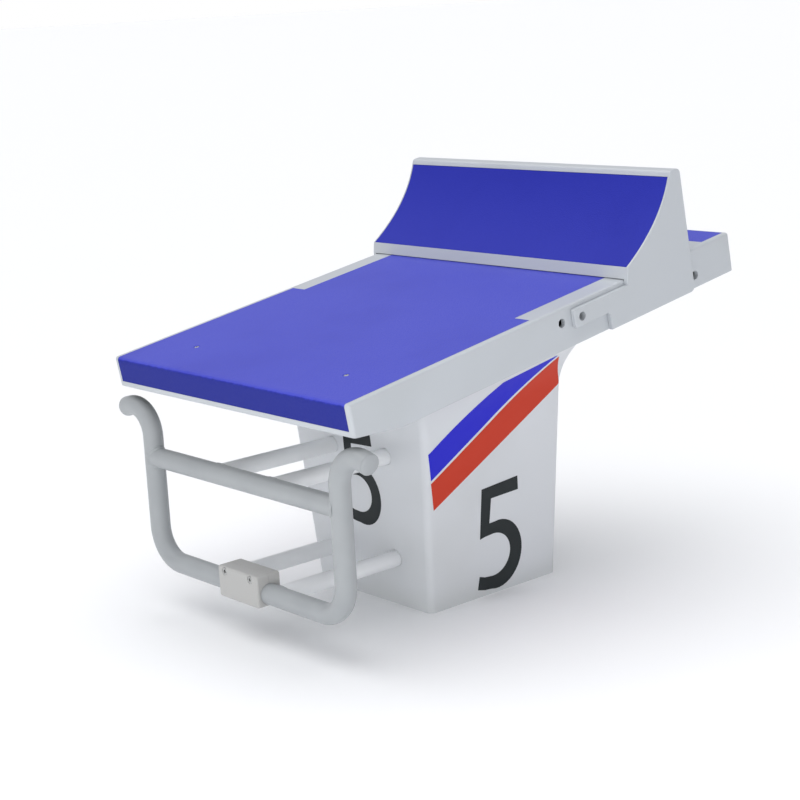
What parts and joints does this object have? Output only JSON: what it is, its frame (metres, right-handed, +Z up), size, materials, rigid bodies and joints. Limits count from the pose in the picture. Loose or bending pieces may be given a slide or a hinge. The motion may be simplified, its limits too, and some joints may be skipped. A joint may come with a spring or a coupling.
{
  "type": "swimming starting block",
  "caption": "Low starting block for a pool's edge: sloping non-slip deck on a flared pedestal, a sliding footrest with side locks, and a tube frame in front to hold.",
  "frame": {"origin": "on the floor, at the middle of the pedestal's foot", "axes": "+X across the block, towards the side seen in the picture; +Y back, away from the pool; +Z up"},
  "size_m": [0.5804, 0.7687, 0.6161],
  "materials": {
    "white_gelcoat": "glass-fibre moulding with a smooth white gelcoat",
    "blue_non_slip": "blue textured non-slip sheet, matte",
    "white_tube": "steel tube with a white powder coat, satin",
    "galvanised_steel": "hot-dip galvanised steel, dull",
    "stainless_fastener": "stainless steel, as rolled",
    "pale_polymer": "off-white moulded polymer, matte",
    "black_polymer": "black moulded polymer, matte"
  },
  "bodies": {
    "block": {"pedestal_shell": "white_gelcoat", "base_plate": "galvanised_steel", "anchor_bolt_front_left": "stainless_fastener", "anchor_bolt_front_right": "stainless_fastener", "anchor_bolt_rear_left": "stainless_fastener", "anchor_bolt_rear_right": "stainless_fastener", "post_front_left": "galvanised_steel", "post_front_right": "galvanised_steel", "post_rear_left": "galvanised_steel", "post_rear_right": "galvanised_steel", "cross_beam_front": "galvanised_steel", "cross_beam_rear": "galvanised_steel", "bearer_left": "galvanised_steel", "bearer_right": "galvanised_steel", "support_plate_upper": "galvanised_steel", "support_plate_lower": "galvanised_steel", "support_bolt_upper_left": "stainless_fastener", "support_bolt_upper_right": "stainless_fastener", "support_bolt_lower_left": "stainless_fastener", "support_bolt_lower_right": "stainless_fastener", "deck_shell": "white_gelcoat", "deck_tread": "blue_non_slip", "deck_screw_front_left": "stainless_fastener", "deck_screw_front_right": "stainless_fastener", "deck_screw_rear_left": "stainless_fastener", "deck_screw_rear_right": "stainless_fastener", "grip_tube": "white_tube", "grip_crossbar": "white_tube", "grip_support_upper_left": "white_tube", "grip_support_upper_right": "white_tube", "grip_support_lower_left": "white_tube", "grip_support_lower_right": "white_tube", "grip_cap_left": "pale_polymer", "grip_cap_right": "pale_polymer", "clamp_block_front": "pale_polymer", "clamp_block_rear": "pale_polymer", "clamp_screw_left": "stainless_fastener", "clamp_screw_right": "stainless_fastener"},
    "footrest": {"footrest_shell": "white_gelcoat", "footrest_tread": "blue_non_slip", "glide_strip_left": "pale_polymer", "glide_strip_right": "pale_polymer", "slide_bar_left": "pale_polymer", "slide_bar_right": "pale_polymer", "guide_bolt_front_left": "stainless_fastener", "guide_bolt_front_right": "stainless_fastener", "guide_bolt_rear_left": "stainless_fastener", "guide_bolt_rear_right": "stainless_fastener", "lock_housing_left": "galvanised_steel", "lock_housing_right": "galvanised_steel"},
    "lock_left": {"lock_button_left": "black_polymer"},
    "lock_right": {"lock_button_right": "black_polymer"}
  },
  "joints": [
    {"name": "footrest_slide", "type": "slide", "parent": "block", "child": "footrest", "axis": [0, 0.9863, 0.165], "range_m": [-0.035, 0.105]},
    {"name": "lock_left_slide", "type": "slide", "parent": "footrest", "child": "lock_left", "axis": [-1, 0, 0], "range_m": [0, 0.012]},
    {"name": "lock_right_slide", "type": "slide", "parent": "footrest", "child": "lock_right", "axis": [1, 0, 0], "range_m": [0, 0.012]}
  ]
}
